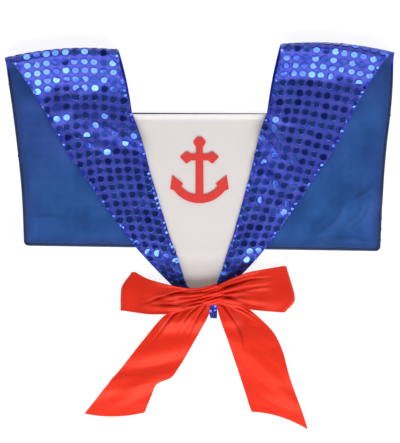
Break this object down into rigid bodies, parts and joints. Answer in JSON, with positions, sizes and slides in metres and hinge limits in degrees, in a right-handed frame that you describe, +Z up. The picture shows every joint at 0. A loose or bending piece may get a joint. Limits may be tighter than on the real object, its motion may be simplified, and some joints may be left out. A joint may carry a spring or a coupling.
{
  "type": "sailor collar",
  "caption": "Costume sailor collar laid flat: square back flap, turned sequinned lapels, a white front panel with an anchor, and a ribbon bow at the point.",
  "frame": {"origin": "centre of the floor area under the collar as it lies", "axes": "+Z up off the surface it lies on, +Y towards the shoulders, +X to the right as seen from above"},
  "size_m": [0.3892, 0.3872, 0.026],
  "materials": {
    "sequinned_cloth": "royal blue net over a blue ground with rows of flat round metallic blue sequins",
    "lining_cloth": "plain thin blue woven lining",
    "white_cloth": "matt off-white woven cloth",
    "red_cloth": "flat red embroidered or printed cloth",
    "satin_ribbon": "glossy red satin ribbon"
  },
  "bodies": {
    "root": {"back_flap": "sequinned_cloth", "flap_lining": "lining_cloth", "left_lapel": "sequinned_cloth", "right_lapel": "sequinned_cloth", "front_panel": "white_cloth", "anchor_emblem": "red_cloth", "bow_knot": "satin_ribbon", "bow_loop_left": "satin_ribbon", "bow_loop_right": "satin_ribbon", "bow_tail_left": "satin_ribbon", "bow_tail_right": "satin_ribbon"}
  },
  "joints": []
}
